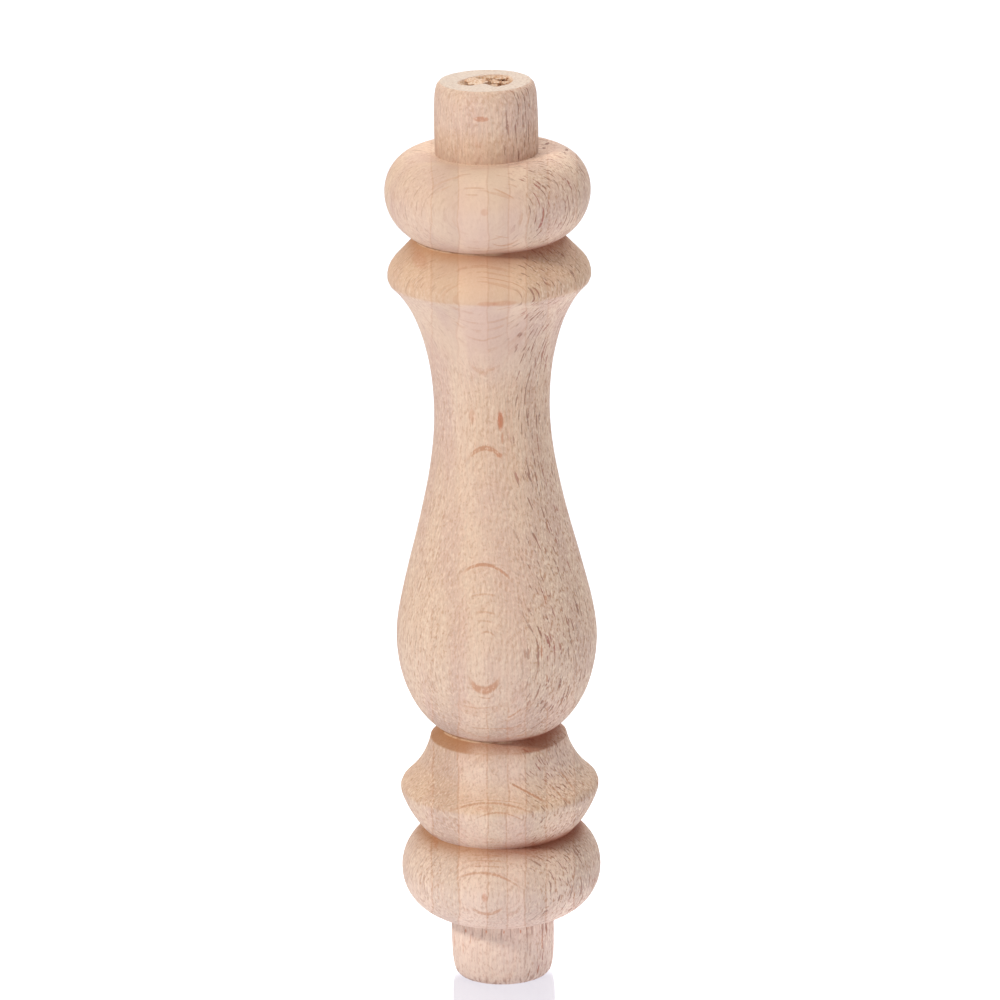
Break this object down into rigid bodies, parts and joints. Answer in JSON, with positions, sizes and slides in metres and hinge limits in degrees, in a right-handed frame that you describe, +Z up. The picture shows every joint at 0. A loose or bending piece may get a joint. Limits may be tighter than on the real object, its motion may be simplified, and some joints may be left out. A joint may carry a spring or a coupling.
{
  "type": "turned wooden furniture leg",
  "caption": "Slim turned beech furniture leg: a vase-shaped shaft between rounded collars and beads, with a plain round tenon at each end for gluing into drilled holes.",
  "frame": {"origin": "middle of the lower tenon's flat end face, on which the leg stands upright", "axes": "+Z up along the turning axis, from the lower tenon to the upper tenon; the leg is round, so X and Y are free"},
  "size_m": [0.018, 0.018, 0.082],
  "materials": {
    "beech": "raw, sanded, unfinished"
  },
  "bodies": {
    "root": {"turned_leg": "beech"}
  },
  "joints": []
}
